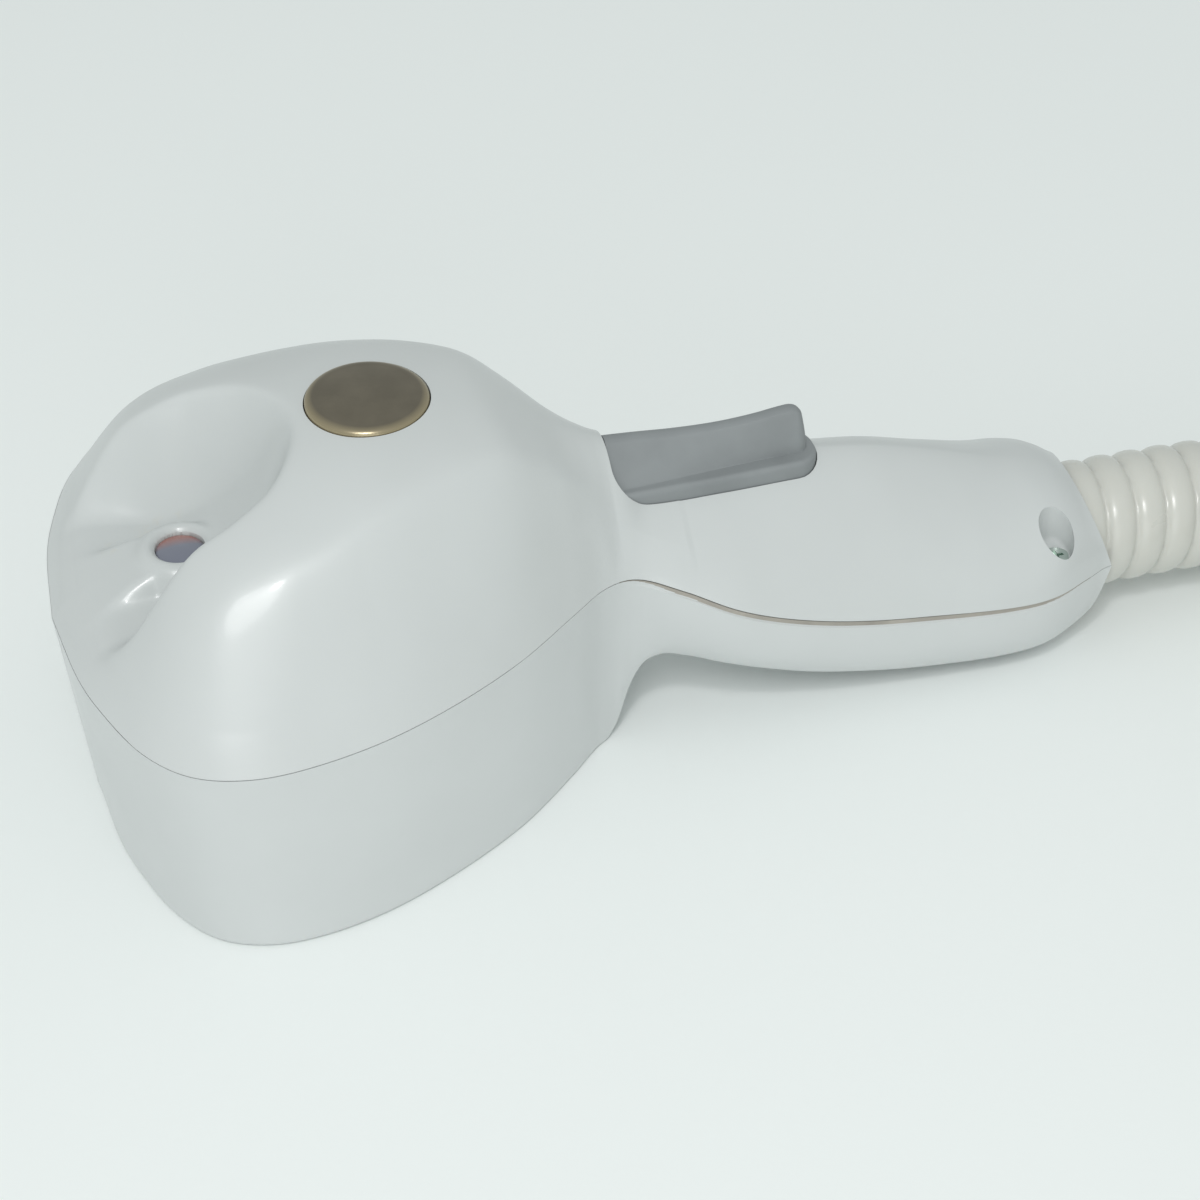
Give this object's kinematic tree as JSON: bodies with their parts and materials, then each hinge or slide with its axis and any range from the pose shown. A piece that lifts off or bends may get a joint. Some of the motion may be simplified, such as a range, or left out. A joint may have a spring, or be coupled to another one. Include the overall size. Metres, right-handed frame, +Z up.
{
  "type": "hair dryer handset",
  "caption": "Hose-fed hand-held hair dryer: wide flat head with an outlet underneath, straight handle with a trigger, and a ribbed air hose.",
  "frame": {"origin": "middle of the handset's box in plan, at the height of the table it rests on", "axes": "+X along the handle from the head towards the hose, +Z up from the flat underside, +Y completes the right-handed frame; the handset is symmetric about the XZ plane"},
  "size_m": [0.6057, 0.4177, 0.0945],
  "materials": {
    "upper_casing": "satin moulded ABS, cool light grey",
    "lower_casing": "satin moulded ABS, cool light grey",
    "zinc_screw": "zinc-plated steel",
    "lens": "smoked clear lens",
    "black_rubber": "matt moulded rubber",
    "circuit_board": "solder-mask green board",
    "red_lamp": "diffuse red lamp",
    "bronze_button": "satin bronze-brown moulding",
    "white_plastic": "natural moulded plastic",
    "steel": "drawn steel",
    "black_plastic": "fine-textured black plastic",
    "grey_trigger": "soft-touch mid grey moulding",
    "dark_grey_plastic": "glass-filled dark grey plastic",
    "red_plastic": "red moulded plastic",
    "shroud_metal": "thin rolled sheet",
    "mica": "layered mica sheet",
    "heater_wire": "oxidised resistance wire",
    "ceramic": "unglazed ceramic",
    "hose_plastic": "flexible ribbed hose, warm off-white",
    "brass": "plated contact",
    "strap": "woven hook-and-loop strap"
  },
  "bodies": {
    "root": {"upper_shell": "upper_casing", "lower_shell": "lower_casing", "rear_screws": "zinc_screw", "head_screws": "zinc_screw", "eye_lens": "lens", "lens_gasket": "black_rubber", "lamp_board": "circuit_board", "indicator_lamp": "red_lamp", "button_guide": "white_plastic", "button_spring": "steel", "mode_switch": "black_plastic", "control_board": "circuit_board", "board_terminal": "black_plastic", "trigger_pin": "steel", "trigger_bracket": "dark_grey_plastic", "trigger_spring": "steel", "trigger_switch": "black_plastic", "air_duct": "dark_grey_plastic", "duct_seal": "black_rubber", "hose_cuff": "dark_grey_plastic", "cuff_ring": "black_rubber", "plenum_hood": "dark_grey_plastic", "heater_shroud": "shroud_metal", "heater_former": "mica", "heater_coil": "heater_wire", "thermostat": "steel", "thermal_fuse": "ceramic", "outlet_grille": "dark_grey_plastic", "wire_harness": "black_rubber", "hose_stretch": "hose_plastic", "hose_coil": "hose_plastic", "hose_connector": "dark_grey_plastic", "contact_pins": "brass", "coil_tie": "strap"},
    "button": {"push_button": "bronze_button"},
    "trigger": {"trigger": "grey_trigger"},
    "plunger": {"switch_plunger": "red_plastic"},
    "lock_ring": {"lock_ring": "black_plastic"}
  },
  "joints": [
    {"name": "button_press", "type": "slide", "parent": "root", "child": "button", "axis": [0, 0, -1], "range_m": [0, 0.0015], "stiffness_N_per_m": 900, "springref_m": -0.0015, "deforming": ["button_spring"]},
    {"name": "trigger_hinge", "type": "hinge", "parent": "root", "child": "trigger", "pos_m": [0.005, 0, 0.052], "axis": [0, 1, 0], "range_deg": [0, 3], "stiffness_Nm_per_rad": 4, "springref_deg": -3.44, "deforming": ["trigger_spring"]},
    {"name": "plunger_slide", "type": "slide", "parent": "root", "child": "plunger", "axis": [0, 0, -1], "range_m": [0, 0.0018]},
    {"name": "lock_ring_turn", "type": "hinge", "parent": "root", "child": "lock_ring", "pos_m": [0.39307, -0.24197, 0.0181], "axis": [-0.5232, -0.8522, 0], "range_deg": [0, 30]}
  ],
  "couplings": [
    {"joint": "plunger_slide", "follows": "trigger_hinge", "m_per_rad": 0.033}
  ]
}
